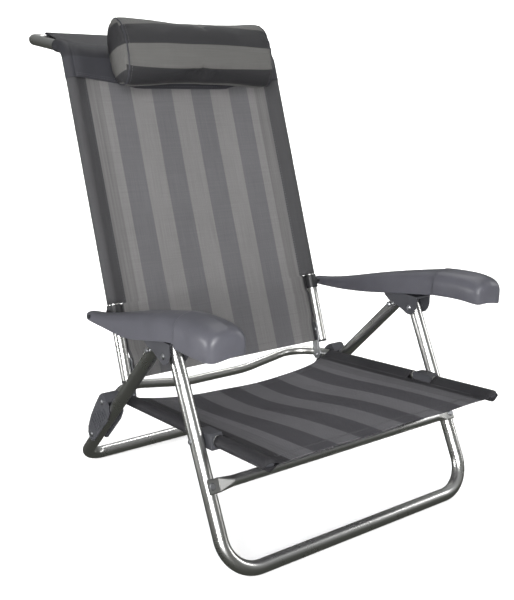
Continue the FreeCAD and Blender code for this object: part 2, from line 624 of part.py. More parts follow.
phi = math.atan2(dirp.z, dirp.y)
low = ring_pts(yz(HY, HZ), rp_, phi + math.pi / 2, phi + 1.5 * math.pi, 12)
high = ring_pts(ax_top, rp_ * 0.85, phi - math.pi / 2, phi + math.pi / 2, 12)
polygon(sk, low + high)
p = hpl.newObject("PartDesign::Pad", "plate_pad")
p.Profile = sk
p.setExpression("Length", "Sheet.plate_thickness")
doc.recompute()
up1 = b0 + bdir * 26.0
up0 = b0 - bdir * 8.0
cross_holes(hpl, "plate_holes", [(HY - Y0, HZ, "Sheet.rivet_radius", D["rivet_radius"]),
                                 (up1.y, up1.z, "Sheet.rivet_radius", D["rivet_radius"])])
keep(hpl, "hinge_plate_left")
mirrored("hinge_plate_right", hpl)
pr, hpn, hsp = [], [], []
rlx = D["rail_half_width"]
rr = D["rail_radius"]
for n, s in (("right", -1), ("left", 1)):
    # plate rivets end on the tube wall
    pr.append(rivet("plate_rivet_" + n, s * px0, s * px1, up1.y + Y0, up1.z, (s > 0, s < 0)))
    hpn.append(rivet("hinge_pin_" + n, s * px0, s * (rlx + rr - 0.4), HY, HZ, (s > 0, s < 0)))
    o = doc.addObject("Part::Cylinder", "spacer_out_" + n)
    o.Radius = 6.5
    o.Height = (rlx - rr) - px1 - 1.4
    i_ = doc.addObject("Part::Cylinder", "spacer_bore_" + n)
    i_.setExpression("Radius", "Sheet.rivet_radius + Sheet.pin_gap")
    i_.Height = o.Height.Value + 2
    xx = px1 + 0.1 if s > 0 else -(px1 + 0.1) - o.Height.Value
    o.Placement = FreeCAD.Placement(V(xx, HY - Y0, HZ), FreeCAD.Rotation(V(0, 1, 0), 90))
    i_.Placement = FreeCAD.Placement(V(xx - 1, HY - Y0, HZ), FreeCAD.Rotation(V(0, 1, 0), 90))
    cut = doc.addObject("Part::Cut", "hinge_spacer_" + n)
    cut.Base = o
    cut.Tool = i_
    hsp.append(cut)
group("plate_rivets", pr)
group("hinge_pins", hpn)
group("hinge_spacers", hsp)

# clamps on the back tubes with the armrest pivot pins
cs = (yz(CY, CZ) - b0).dot(bdir)             # clamp station along the tube
cl = doc.addObject("Part::Cylinder", "clamp_ring_left")
cl.setExpression("Radius", "Sheet.back_radius + 3.2")
cl.Height = 30.0
clb = doc.addObject("Part::Cylinder", "clamp_bore_left")
clb.setExpression("Radius", "Sheet.back_radius + 0.03")
clb.Height = 34.0
base = b0 + bdir * (cs - 15.0) + V(bh, 0, 0)
rb = FreeCAD.Rotation(V(0, 0, 1), bdir)
cl.Placement = FreeCAD.Placement(base, rb)
clb.Placement = FreeCAD.Placement(base - bdir * 2, rb)
ear = doc.addObject("Part::Cylinder", "clamp_ear_left")
ear.Radius = 9.0
ear.Height = 7.5
# ear centre in the tube's line so that it stands out of the ring
cpt = b0 + bdir * cs
ear.Placement = FreeCAD.Placement(V(bh + 7.0, CY - Y0, CZ), FreeCAD.Rotation(V(0, 1, 0), 90))
pinc = doc.addObject("Part::Cylinder", "clamp_pin_left")
pinc.setExpression("Radius", "Sheet.clamp_pin_radius")
pinc.Height = 48.0
pinc.Placement = FreeCAD.Placement(V(bh + 9.0, CY - Y0, CZ), FreeCAD.Rotation(V(0, 1, 0), 90))
fz = doc.addObject("Part::MultiFuse", "clamp_solid_left")
fz.Shapes = [cl, ear, pinc]
ct = doc.addObject("Part::Cut", "arm_clamp_left_cut")
ct.Base = fz
ct.Tool = clb
keep(ct, "arm_clamp_left")
mirrored("arm_clamp_right", ct)

# back sling: thin closed solid between the tubes
sl = new_body("back_sling")
st = new_sketch(sl, "XY_Plane", "back_sling_outline")
w_ = D["back_sling_half"]
e0_, e1_ = 0.0, D["back_rise"] - 26.0
lines = polygon(st, [(-w_, 48.0), (-w_ + 6, 48.0), (-w_ + 6, 0.5), (w_ - 6, 0.5), (w_ - 6, 48.0), (w_, 48.0), (w_, e1_), (-w_, e1_)])
p = sl.newObject("PartDesign::Pad", "back_sling_pad")
p.Profile = st
p.setExpression("Length", "Sheet.sling_thickness")
p.Midplane = True
doc.recompute()
sl.Placement = FreeCAD.Placement(b0, FreeCAD.Rotation(V(-1, 0, 0), bdir, bup, "YZX"))
keep(sl, "back_sling")

# top sling panel from the fold to the top bar
run = (topc - corner)
run_len = run.Length
rd = V(run.x, run.y, run.z).normalize()
rn = V(0, -rd.z, rd.y)
tp = new_body("top_panel")
st = new_sketch(tp, "XY_Plane", "top_panel_outline")
w2 = D["back_sling_half"] - 1.0
polygon(st, [(-w2, 14.0), (w2, 14.0), (w2, run_len - 46.0), (w2 - 40.0, run_len - 13.5), (-w2 + 40.0, run_len - 13.5), (-w2, run_len - 46.0)])
p = tp.newObject("PartDesign::Pad", "top_panel_pad")
p.Profile = st
p.setExpression("Length", "Sheet.sling_thickness")
p.Midplane = True
doc.recompute()
tp.Placement = FreeCAD.Placement(corner, FreeCAD.Rotation(V(-1, 0, 0), rd, rn, "YZX"))
keep(tp, "top_panel")

# head pillow: a slightly flattened roll with rounded ends
pw, pr0 = D["pillow_half"], D["pillow_radius"]
pl = new_body("head_pillow")
sk = new_sketch(pl, "YZ_Plane", "pillow_section", -pw)
sk.setExpression("AttachmentOffset.Base.z", "-Sheet.pillow_half")
polygon(sk, [(pr0 * 1.12 * math.cos(a * math.pi / 12) * 0.62, pr0 * 1.12 * math.sin(a * math.pi / 12)) for a in range(24)])
p = pl.newObject("PartDesign::Pad", "pillow_pad")
p.Profile = sk
p.setExpression("Length", "2 * Sheet.pillow_half")
doc.recompute()
pc = b0 + bdir * 655.0 + bup * 46.0
pl.Placement = FreeCAD.Placement(pc, FreeCAD.Rotation(V(1, 0, 0), -D["back_tilt"]))
keep(pl, "head_pillow")

# ---------------------------------------------------------------- armrests
# (y, centre x, half width, bottom z, top z)
stations = [
    (486.0, 288.0, 12.0, 337.0, 351.0),
    (464.0, 288.0, 15.0, 338.5, 354.5),
    (430.0, 288.0, 17.0, 342.0, 359.5),
    (370.0, 288.0, 20.0, 348.0, 372.5),
    (300.0, 288.0, 24.0, 354.5, 391.5),
    (205.0, 288.5, 28.5, 371.0, 414.5),
    (120.0, 289.0, 30.5, 386.0, 430.0),
    (60.0, 293.0, 35.5, 388.0, 436.5),
    (18.0, 294.0, 36.5, 389.0, 436.0),
    (-4.0, 293.0, 31.0, 394.0, 431.5),
    (-14.0, 292.0, 22.0, 402.0, 425.0),
]
arm = new_body("armrest_left")


def rounded(sk, cx, cz, hw, hh, r1, r2):
    # r1 lower corners, r2 upper corners; eight edges in a fixed order
    pts = []
    k1, k2 = r1, r2
    A = [((-hw + k1, -hh), (hw - k1, -hh)), ((hw, -hh + k1), (hw, hh - k2)), ((hw - k2, hh), (-hw + k2, hh)), ((-hw, hh - k2), (-hw, -hh + k1))]
    C = [((hw - k1, -hh + k1), k1, -math.pi / 2), ((hw - k2, hh - k2), k2, 0.0), ((-hw + k2, hh - k2), k2, math.pi / 2), ((-hw + k1, -hh + k1), k1, math.pi)]
    ids = []
    for (a, b_), (cc, k_, s_) in zip(A, C):
        ids.append(sk.addGeometry(Part.LineSegment(V(cx + a[0], cz + a[1], 0), V(cx + b_[0], cz + b_[1], 0)), False))
        ids.append(sk.addGeometry(Part.ArcOfCircle(Part.Circle(V(cx + cc[0], cz + cc[1], 0), V(0, 0, 1), k_), s_, s_ + math.pi / 2), False))
    for j in range(8):
        sk.addConstraint(Sketcher.Constraint("Coincident", ids[j], 2, ids[(j + 1) % 8], 1))


secs = []
for y_, cx_, hw_, zb_, zt_ in stations:
    # XZ plane: its normal is -Y, so the offset along the normal is -(y)
    sk = new_sketch(arm, "XZ_Plane", "armrest_section", -(y_ - Y0))
    hh_ = (zt_ - zb_) / 2
    rounded(sk, cx_, (zt_ + zb_) / 2, hw_, hh_, min(4.0, hh_ * 0.45), min(hw_ * 0.62, hh_ * 0.9))
    secs.append(sk)
lf = arm.newObject("PartDesign::AdditiveLoft", "armrest_loft")
lf.Profile = secs[0]
lf.Sections = secs[1:]
doc.recompute()
slope_k = (KZ - CZ) / (CY - KY)


def rack_line(y_, lift):
    return KZ + (KY - y_) * slope_k + lift


rl = D["rack_lift"]
ch = D["channel_half"]
roof = [(22.0, 428.0), (60.0, 428.5), (120.0, 422.0), (205.0, 406.5), (246.0, 396.5)]


def roof_z(y_):
    for (ya, za), (yb, zb) in zip(roof, roof[1:]):
        if ya <= y_ <= yb:
            return za + (zb - za) * (y_ - ya) / (yb - ya)
    return roof[0][1] if y_ < roof[0][0] else roof[-1][1]
side_cut(arm, "armrest_channel", [(y_ - Y0, z_) for y_, z_ in
                                  [(22, 330), (246, 330)] + roof[::-1]], 288.0 - ch, 288.0 + ch)
side_cut(arm, "armrest_rear_channel", [(y_ - Y0, z_) for y_, z_ in
                                       [(251, 330), (436, 330), (436, 353.5), (370, 366), (300, 384.5), (251, 396)]], 288.0 - 12.5, 288.0 + 12.5)
cross_holes(arm, "armrest_bore", [(CY - Y0, CZ, "Sheet.clamp_pin_radius + Sheet.pin_gap", D["clamp_pin_radius"] + D["pin_gap"])])
keep(arm, "armrest_left")
mirrored("armrest_right", arm)

# rack under the roof of the channel: a strip with scalloped notches
rk = new_body("armrest_rack_left")
pts = [(236.0, roof_z(236.0) - 0.02), (205.0, roof_z(205.0) - 0.02), (120.0, roof_z(120.0) - 0.02), (60.0, roof_z(60.0) - 0.02)]
y_ = 60.0
pts.append((60.0, rack_line(60.0, rl)))
while y_ < 228.0:
    pts += [(y_ + 6.0, rack_line(y_ + 6.0, rl)), (y_ + 9.0, rack_line(y_ + 9.0, rl + 4.5)),
            (y_ + 16.0, rack_line(y_ + 16.0, rl + 4.5)), (y_ + 19.0, rack_line(y_ + 19.0, rl))]
    y_ += 24.0
pts.append((236.0, rack_line(236.0, rl)))
side_pad(rk, "rack_outline", [(a - Y0, b_) for a, b_ in pts], 288.0 - D["rack_width"] / 2, 288.0 + D["rack_width"] / 2)
keep(rk, "armrest_rack_left")
mirrored("armrest_rack_right", rk)

# ---------------------------------------------------------------- checks and export
doc.recompute()
bad = []
for o in doc.Objects:
    st_ = [x for x in o.State if x in ("Invalid", "Error")]
    if st_:
        bad.append("%s %s" % (o.Name, st_))
for o in NODES:
    s_ = o.Shape
    if s_.isNull() or not s_.isValid() or not s_.Solids:
        bad.append("%s shape" % o.Label)
if bad:
    raise SystemExit("failed: " + "; ".join(bad))
os.makedirs("parts", exist_ok=True)
box = FreeCAD.BoundBox()
for o in NODES:
    o.Shape.exportStep("parts/%s.step" % o.Label)
    box.add(o.Shape.BoundBox)
    print("%-22s solids %d volume %.0f" % (o.Label, len(o.Shape.Solids), o.Shape.Volume))
print("nodes", len(NODES), "box", box)
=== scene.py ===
import bpy
import math
from mathutils import Matrix, Vector
from mathutils.bvhtree import BVHTree


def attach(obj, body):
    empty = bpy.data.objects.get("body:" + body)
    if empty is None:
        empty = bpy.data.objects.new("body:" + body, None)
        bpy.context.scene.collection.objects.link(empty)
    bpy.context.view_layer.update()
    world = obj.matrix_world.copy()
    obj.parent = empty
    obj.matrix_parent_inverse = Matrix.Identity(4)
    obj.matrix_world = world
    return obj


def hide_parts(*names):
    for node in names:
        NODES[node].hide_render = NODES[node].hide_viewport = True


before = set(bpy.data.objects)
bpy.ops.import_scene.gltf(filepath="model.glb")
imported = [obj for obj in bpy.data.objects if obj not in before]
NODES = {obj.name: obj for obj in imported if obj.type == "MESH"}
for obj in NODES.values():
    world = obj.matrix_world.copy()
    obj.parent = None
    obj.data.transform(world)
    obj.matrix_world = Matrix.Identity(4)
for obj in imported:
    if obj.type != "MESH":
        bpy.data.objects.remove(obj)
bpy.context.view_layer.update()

SCENE = bpy.context.scene

# The chair's design frame in millimetres: x across, y rearward, z up.
Y0 = 396.29
BT = math.radians(19.65)
B0 = (418.0, 219.0)
SLOPE = math.atan2(31.0, 418.0 - 102.475)
BACK_R, RAIL_R, LEG_R = 11.0, 9.5, 12.5


def P(x, y, z):
    return Vector((x, y - Y0, z)) / 1000.0


def back(x, s, n):
    # s up the back, n square to it, towards the sitter
    return P(x, B0[0] + s * math.sin(BT) - n * math.cos(BT), B0[1] + s * math.cos(BT) + n * math.sin(BT))


def seat(x, d, n):
    # d forward along the rails from the hinge, n above them
    return P(x, 418.0 - d * math.cos(SLOPE) + n * math.sin(SLOPE), 185.0 + d * math.sin(SLOPE) + n * math.cos(SLOPE))


def clamp01(t):
    return max(0.0, min(1.0, t))


def smooth(t):
    t = clamp01(t)
    return t * t * (3 - 2 * t)


# ------------------------------------------------------------------ materials
def material(name):
    m = bpy.data.materials.new(name)
    m.use_nodes = True
    nt = m.node_tree
    nt.nodes.clear()
    out = nt.nodes.new("ShaderNodeOutputMaterial")
    b = nt.nodes.new("ShaderNodeBsdfPrincipled")
    nt.links.new(b.outputs[0], out.inputs[0])
    return m, nt, b


class Net:
    """Short names for building a node tree."""

    def __init__(self, nt):
        self.nt = nt

    def node(self, kind, **kw):
        n = self.nt.nodes.new(kind)
        for k, v in kw.items():
            setattr(n, k, v)
        return n

    def link(self, a, b):
        self.nt.links.new(a, b)

    def math(self, op, a, b=None, c=None, clamp=False):
        n = self.node("ShaderNodeMath", operation=op, use_clamp=clamp)
        for i, v in enumerate((a, b, c)):
            if v is None:
                continue
            if isinstance(v, (int, float)):
                n.inputs[i].default_value = v
            else:
                self.link(v, n.inputs[i])
        return n.outputs[0]

    def mix(self, f, a, b, kind="MIX"):
        n = self.node("ShaderNodeMix", data_type="RGBA", blend_type=kind)
        for i, v in ((0, f), (6, a), (7, b)):
            if isinstance(v, (int, float)):
                n.inputs[i].default_value = v
            elif isinstance(v, tuple):
                n.inputs[i].default_value = (*v, 1.0)
            else:
                self.link(v, n.inputs[i])
        return n.outputs[2]

    def noise(self, coord, scale, detail=3.0, rough=0.5):
        n = self.node("ShaderNodeTexNoise")
        n.inputs["Scale"].default_value = scale
        n.inputs["Detail"].default_value = detail
        n.inputs["Roughness"].default_value = rough
        self.link(coord, n.inputs["Vector"])
        return n.outputs["Fac"]

    def range(self, v, a, b, c, d):
        n = self.node("ShaderNodeMapRange")
        n.inputs[1].default_value, n.inputs[2].default_value = a, b
        n.inputs[3].default_value, n.inputs[4].default_value = c, d
        self.link(v, n.inputs[0])
        return n.outputs[0]

    def bump(self, height, strength, dist, normal=None):
        n = self.node("ShaderNodeBump")
        n.inputs["Strength"].default_value = strength
        n.inputs["Distance"].default_value = dist
        self.link(height, n.inputs["Height"])
        if normal is not None:
            self.link(normal, n.inputs["Normal"])
        return n.outputs[0]


def scaled(net, coord, sx, sy, sz):
    m = net.node("ShaderNodeMapping")
    m.inputs["Scale"].default_value = (sx, sy, sz)
    net.link(coord, m.inputs["Vector"])
    return m.outputs[0]


def metal(name, color, rough, smear=0.08, grain=0.02):
    m, nt, b = material(name)
    n = Net(nt)
    co = n.node("ShaderNodeTexCoord").outputs["Object"]
    broad = n.noise(co, 14.0, 4.0, 0.6)
    fine = n.noise(co, 700.0, 2.0)
    b.inputs["Metallic"].default_value = 1.0
    n.link(n.mix(n.range(broad, 0.35, 0.7, 0.0, 1.0), color, tuple(c * 0.9 for c in color)), b.inputs["Base Color"])
    n.link(n.math("ADD", n.range(broad, 0.3, 0.75, rough, rough + smear), n.math("MULTIPLY", fine, 0.05)), b.inputs["Roughness"])
    n.link(n.bump(fine, grain, 0.0003), b.inputs["Normal"])
    return m


def plastic(name, color, rough, grain=0.25, scuff=0.0, bevel=0.0008):
    m, nt, b = material(name)
    n = Net(nt)
    co = n.node("ShaderNodeTexCoord").outputs["Object"]
    grainy = n.noise(co, 1500.0, 2.0)
    broad = n.noise(co, 22.0, 4.0, 0.6)
    scratch = n.noise(scaled(n, co, 30.0, 900.0, 160.0), 1.0, 3.0, 0.6)
    base = n.mix(n.range(broad, 0.3, 0.7, 0.0, 1.0), color, tuple(c * 1.18 for c in color))
    if scuff:
        marks = n.range(scratch, 0.68, 0.76, 0.0, scuff)
        base = n.mix(marks, base, tuple(min(1.0, c * 4.0) for c in color))
    n.link(base, b.inputs["Base Color"])
    n.link(n.range(broad, 0.3, 0.75, rough, rough + 0.12), b.inputs["Roughness"])
    bev = n.node("ShaderNodeBevel", samples=4)
    bev.inputs["Radius"].default_value = bevel
    n.link(n.bump(grainy, grain, 0.0002, bev.outputs[0]), b.inputs["Normal"])
    b.inputs["Specular IOR Level"].default_value = 0.5
    return m


def cloth(name, light, dark, double=None, edge=None, rough=0.46, pitch=0.0019, all_dark=False, dark_from=None, lift=None):
    """Woven mesh cloth. UV is metres: u across the stripes from the centre of a light one, v along them."""
    m, nt, b = material(name)
    n = Net(nt)
    uv = n.node("ShaderNodeTexCoord").outputs["UV"]
    sep = n.node("ShaderNodeSeparateXYZ")
    n.link(uv, sep.inputs[0])
    u, v = sep.outputs[0], sep.outputs[1]
    wob = n.math("MULTIPLY", n.math("SUBTRACT", n.noise(scaled(n, uv, 3.0, 9.0, 1.0), 1.0, 2.0), 0.5), 0.0012)
    uu = n.math("ADD", u, wob)
    wave = n.math("COSINE", n.math("MULTIPLY", uu, 2 * math.pi / 0.098))
    mask = n.range(wave, -0.035, 0.035, 0.0, 1.0)
    au = n.math("ABSOLUTE", u)
    if dark_from is not None:
        mask = n.math("MULTIPLY", mask, n.range(au, dark_from - 0.0006, dark_from + 0.0006, 1.0, 0.0))
    base = dark if all_dark else n.mix(mask, dark, light)
    # threads: two over, one under, in both directions
    tu = n.math("SINE", n.math("MULTIPLY", u, 2 * math.pi / pitch))
    tv = n.math("SINE", n.math("MULTIPLY", v, 2 * math.pi / pitch))
    cross = n.math("SINE", n.math("MULTIPLY", n.math("ADD", u, v), math.pi / pitch))
    weave = n.math("ADD", n.math("MULTIPLY", tu, tv), n.math("MULTIPLY", cross, 0.5))
    warp = n.noise(scaled(n, uv, 620.0, 9.0, 1.0), 1.0, 2.0, 0.7)
    weft = n.noise(scaled(n, uv, 9.0, 620.0, 1.0), 1.0, 2.0, 0.7)
    broad = n.noise(scaled(n, uv, 11.0, 7.0, 1.0), 1.0, 3.0)
    tone = n.math("ADD", n.range(warp, 0.25, 0.75, -0.11, 0.11), n.range(weft, 0.25, 0.75, -0.08, 0.08))
    tone = n.math("ADD", tone, n.range(broad, 0.3, 0.7, -0.04, 0.04))
    tone = n.math("ADD", tone, n.math("MULTIPLY", weave, 0.06))
    tone = n.math("ADD", tone, 1.0)
    if double:
        # the flap behind makes the open weave denser, with streaks where the two layers beat
        a, z_, k = double
        two = n.math("MULTIPLY", n.range(au, a - 0.0008, a + 0.0008, 0.0, 1.0), n.range(au, z_ - 0.001, z_ + 0.001, 1.0, 0.0))
        beat = n.noise(scaled(n, uv, 260.0, 3.0, 1.0), 1.0, 2.0)
        low = n.range(beat, 0.3, 0.7, k - 0.1, k + 0.1)
        tone = n.math("MULTIPLY", tone, n.math("ADD", n.math("MULTIPLY", two, n.math("SUBTRACT", low, 1.0)), 1.0))
    if dark_from is not None:
        tone = n.math("MULTIPLY", tone, n.range(au, dark_from - 0.0006, dark_from + 0.0006, 1.0, 0.45))
    # painted shade: from v = lift[0] on, the colour is multiplied by lift[1]
    if lift:
        tone = n.math("MULTIPLY", tone, n.range(v, lift[0] - 0.0006, lift[0] + 0.0006, 1.0, lift[1]))
    tone_col = n.node("ShaderNodeCombineColor")
    for i in range(3):
        n.link(tone, tone_col.inputs[i])
    n.link(n.mix(1.0, base, tone_col.outputs[0], "MULTIPLY"), b.inputs["Base Color"])
    n.link(n.range(weave, -1.2, 1.2, rough + 0.1, rough - 0.04), b.inputs["Roughness"])
    n.link(n.bump(weave, 0.5, 0.00035), b.inputs["Normal"])
    b.inputs["Specular IOR Level"].default_value = 0.42
    return m


ALU = metal("polished_aluminium", (0.82, 0.82, 0.80), 0.23)
ALU_DULL = metal("satin_aluminium", (0.78, 0.78, 0.75), 0.27)
ZINC = metal("zinc_plated_steel", (0.62, 0.63, 0.66), 0.28, 0.15, 0.05)
GREY = plastic("grey_moulding", (0.055, 0.056, 0.064), 0.42)
ARM = plastic("armrest_moulding", (0.092, 0.092, 0.108), 0.3, 0.12, 0.5, 0.0004)
BLACK = plastic("black_moulding", (0.022, 0.022, 0.024), 0.4)
LIGHT, DARK = (0.208, 0.203, 0.203), (0.136, 0.134, 0.142)
BACK_CLOTH = cloth("back_weave", LIGHT, DARK, double=(0.1915, 0.2205, 0.78), dark_from=0.2205)
# painted shade: the seat is the same cloth as the back, with its light and dark colours painted darker
SEAT_CLOTH_PAINTED_SHADE = cloth("seat_weave_painted_shade", (0.135, 0.132, 0.143), (0.058, 0.056, 0.065), double=(0.1915, 0.2205, 0.85), dark_from=0.2205)
# painted shade: the casing and its side cups are painted darker from 53 mm above the lower edge, over the bend and the
# top
EDGE_CLOTH = cloth("edge_weave_painted_shade", LIGHT, (0.042, 0.042, 0.05), all_dark=True, lift=(0.053, 0.66))
PILLOW_CLOTH = cloth("pillow_weave", (0.122, 0.12, 0.115), (0.026, 0.0255, 0.028))
THREAD, _nt, _b = material("thread")
_n = Net(_nt)
_co = _n.node("ShaderNodeTexCoord").outputs["Object"]
_n.link(_n.mix(_n.noise(_co, 900.0), (0.06, 0.06, 0.065), (0.16, 0.16, 0.17)), _b.inputs["Base Color"])
_b.inputs["Roughness"].default_value = 0.6

NODE_MATERIAL = {
    "front_leg": ALU, "rear_leg": ALU, "front_crossbar": ALU, "seat_frame": ALU_DULL, "back_frame": ALU,
    "bracket_left": GREY, "bracket_right": GREY, "link_block_left": GREY, "link_block_right": GREY,
    "pivot_block_left": GREY, "pivot_block_right": GREY, "rail_plugs": GREY,
    "armrest_rack_left": ARM, "armrest_rack_right": ARM,
    "back_end_caps": BLACK, "arm_clamp_left": BLACK, "arm_clamp_right": BLACK,
}
for name, obj in NODES.items():
    mat = NODE_MATERIAL.get(name, ZINC)
    for sl in obj.material_slots:
        sl.material = mat


# ------------------------------------------------------------------ mesh helpers
def add_mesh(name, verts, faces, mat, uvs=None, smooth_shade=True):
    me = bpy.data.meshes.new(name)
    me.from_pydata([tuple(v) for v in verts], [], faces)
    me.update()
    o = bpy.data.objects.new(name, me)
    SCENE.collection.objects.link(o)
    me.materials.append(mat)
    if uvs is not None:
        layer = me.uv_layers.new(name="cloth")
        for loop in me.loops:
            layer.data[loop.index].uv = uvs[loop.vertex_index]
    if smooth_shade:
        for p in me.polygons:
            p.use_smooth = True
    return o


def apply_modifiers(o):
    bpy.context.view_layer.update()
    dg = bpy.context.evaluated_depsgraph_get()
    me = bpy.data.meshes.new_from_object(o.evaluated_get(dg), preserve_all_data_layers=True, depsgraph=dg)
    old = o.data
    o.modifiers.clear()
    o.data = me
    me.name = o.name
    if old.users == 0:
        bpy.data.meshes.remove(old)
    return o


def grid_mesh(name, rows, mat, uv_rows, drop=None, thick=0.0009, close=False):
    """Rows of points become one sheet with a real thickness."""
    nr, nc = len(rows), len(rows[0])
    verts = [p for r in rows for p in r]
    uvs = [q for r in uv_rows for q in r]
    faces = []
    for j in range(nr - 1):
        for i in range(nc - 1):
            if drop and drop(j, i):
                continue
            faces.append((j * nc + i, j * nc + i + 1, (j + 1) * nc + i + 1, (j + 1) * nc + i))
    used = sorted({k for f in faces for k in f})
    remap = {k: i for i, k in enumerate(used)}
    o = add_mesh(name, [verts[k] for k in used], [tuple(remap[k] for k in f) for f in faces], mat, [uvs[k] for k in used])
    so = o.modifiers.new("thickness", "SOLIDIFY")
    so.thickness = thick
    so.offset = 0.0
    so.use_rim = True
    apply_modifiers(o)
    for p in o.data.polygons:
        p.use_smooth = True
    return o


def tube_mesh(name, pts, radius, mat, sides=8, closed=False, ends=True):
    pts = [Vector(p) for p in pts]
    n = len(pts)
    verts, faces = [], []
    tan = []
    for i in range(n):
        a = pts[(i - 1) % n] if closed or i else pts[i]
        b = pts[(i + 1) % n] if closed or i < n - 1 else pts[i]
        tan.append((b - a).normalized())
    ref = tan[0].orthogonal().normalized()
    for i in range(n):
        ref = (ref - tan[i] * ref.dot(tan[i])).normalized()
        bi = tan[i].cross(ref)
        for k in range(sides):
            a = 2 * math.pi * k / sides
            verts.append(pts[i] + (ref * math.cos(a) + bi * math.sin(a)) * radius)
    m = n if closed else n - 1
    for i in range(m):
        j = (i + 1) % n
        for k in range(sides):
            k2 = (k + 1) % sides
            faces.append((i * sides + k, i * sides + k2, j * sides + k2, j * sides + k))
    if ends and not closed:
        faces.append(tuple(reversed(range(sides))))
        faces.append(tuple(range((n - 1) * sides, n * sides)))
    return add_mesh(name, verts, faces, mat)


def stitches(name, pts, normals, mat=THREAD, length=0.0034, gap=0.0022, r=0.00042):
    """A row of short threads along a path, each sunk a little at its ends."""
    pts = [Vector(p) for p in pts]
    cum = [0.0]
    for a, b in zip(pts, pts[1:]):
        cum.append(cum[-1] + (b - a).length)

    def at(d):
        i = 0
        while i < len(cum) - 2 and cum[i + 1] < d:
            i += 1
        t = (d - cum[i]) / max(1e-9, cum[i + 1] - cum[i])
        return pts[i].lerp(pts[i + 1], t), Vector(normals[i]).lerp(Vector(normals[i + 1]), t).normalized()
    verts, faces = [], []
    d = gap
    while d + length < cum[-1]:
        ring0 = len(verts)
        for f, k, lift in ((0.0, 0.45, -0.2), (0.25, 1.0, 0.45), (0.75, 1.0, 0.45), (1.0, 0.45, -0.2)):
            p, nn = at(d + f * length)
            q, _ = at(min(cum[-1], d + f * length + 0.0004))
            t = (q - p).normalized() if (q - p).length > 1e-9 else Vector((1, 0, 0))
            side = t.cross(nn).normalized()
            for a in range(6):
                w = 2 * math.pi * a / 6
                verts.append(p + nn * (r * lift) + (side * math.cos(w) + nn * math.sin(w)) * r * k)
        for s_ in range(3):
            for a in range(6):
                b = (a + 1) % 6
                faces.append((ring0 + s_ * 6 + a, ring0 + s_ * 6 + b, ring0 + s_ * 6 + 6 + b, ring0 + s_ * 6 + 6 + a))
        faces.append(tuple(ring0 + a for a in reversed(range(6))))
        faces.append(tuple(ring0 + 18 + a for a in range(6)))
        d += length + gap
    return add_mesh(name, verts, faces, mat)


def sleeve_section(cx, r, inset, half_flap, gap=1.5, steps=16, span=28):
    """Half section of a cloth that goes round a tube at cx: list of (x, n, layer); layer 0 front, 1 wrap, 2 flap."""
    sx = cx - inset
    beta = math.asin(r / inset)
    a0 = math.pi / 2 + beta
    out = [(sx * i / steps, 0.0, 0) for i in range(steps)]
    out.append((sx, 0.0, 0))
    for i in range(span + 1):
        a = a0 - 2 * a0 * i / span
        out.append((cx + r * math.cos(a), r * math.sin(a), 1))
    out.append((sx, -gap, 2))
    for k in (0.35, 0.7, 1.0):
        out.append((sx - half_flap * k, -gap, 2))
    return out


def arc_lengths(sec):
    u = [0.0]
    for a, b in zip(sec, sec[1:]):
        u.append(u[-1] + math.hypot(b[0] - a[0], b[1] - a[1]))
    return u


# ------------------------------------------------------------------ back sling
def back_sag(x, s):
    across = 1.0 - min(1.0, abs(x) / 228.0) ** 2
    up = math.sin(math.pi * clamp01((s + 60.0) / 760.0)) ** 0.8
    ripple = 0.9 * math.sin(x / 61.0 + 0.6) * math.sin(s / 150.0 + 0.4) + 0.5 * math.sin(x / 33.0 - s / 210.0)
    return -across * (6.5 * up + 1.0) + across * ripple


SLEEVE_FROM = 152.5


def panel_x(x, s):
    """Below the sleeves the panel runs out to the bare tube, and is cut back at the clamps and hinge plates."""
    if s >= SLEEVE_FROM - 1.0:
        return x
    reach = 238.3 - 4.3 * max(smooth((54.0 - s) / 6.0), smooth((s - 111.0) / 6.0) * smooth((161.0 - s) / 6.0))
    return x * (1.0 + (reach / 226.0 - 1.0) * smooth((abs(x) - 160.0) / 66.0))


sec = sleeve_section(249.0, 11.8, 23.0, 35.0)
u_half = arc_lengths(sec)
full = [(-x, n, l, -u) for (x, n, l), u in zip(sec[:0:-1], u_half[:0:-1])] + [(x, n, l, u) for (x, n, l), u in zip(sec, u_half)]
ss = [0.0, 2.0, 5.0, 10.0, 16.0, 20.0] + [30.0 + 10.0 * i for i in range(13)] + [SLEEVE_FROM + 12.2 * i for i in range(41)]
ss = [s for s in ss if s <= 652.0]
rows, uvr = [], []
# turned hem behind the lower edge
for s, dn in ((19.0, -1.3), (10.0, -1.4), (2.5, -1.3), (0.3, -0.7)):
    rows.append([back(panel_x(x, s) if l == 0 else x, s, n + dn + (back_sag(x, s) if l != 1 else 0.0)) for x, n, l, u in full])
    uvr.append([(u / 1000.0, -s / 1000.0) for x, n, l, u in full])
hem_rows = len(rows)
for s in ss[1:]:
    row = []
    for x, n, l, u in full:
        nn = n + (back_sag(x, s) if l != 1 else 0.0)
        row.append(back(panel_x(x, s) if l == 0 else x, s, nn))
    rows.append(row)
    uvr.append([(u / 1000.0, s / 1000.0) for x, n, l, u in full])
row_s = [19.0, 10.0, 2.5, 0.3] + ss[1:]
layers = [l for x, n, l, u in full]


def drop_back(j, i):
    lo = min(row_s[j], row_s[j + 1])
    if lo < SLEEVE_FROM - 1.0:
        return layers[i] != 0 or layers[i + 1] != 0
    return False


back_cloth = grid_mesh("back_fabric", rows, BACK_CLOTH, uvr, drop_back)
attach(back_cloth, "back")
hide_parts("back_sling")

BN = Vector((0, -math.cos(BT), math.sin(BT)))
hem_line = [back(x, 17.0, back_sag(x, 17.0) + 0.6) for x in range(-222, 223, 12)]
st = stitches("back_hem_stitches", hem_line, [BN] * len(hem_line))
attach(st, "back")
for sgn, tag in ((-1, "right"), (1, "left")):
    for k, off in enumerate((224.0, 221.0)):
        line = [back(sgn * off, s, back_sag(off, s) + 0.6) for s in range(156, 606, 14)]
        st = stitches("back_sleeve_stitches_%s_%d" % (tag, k + 1), line, [BN] * len(line))
        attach(st, "back")

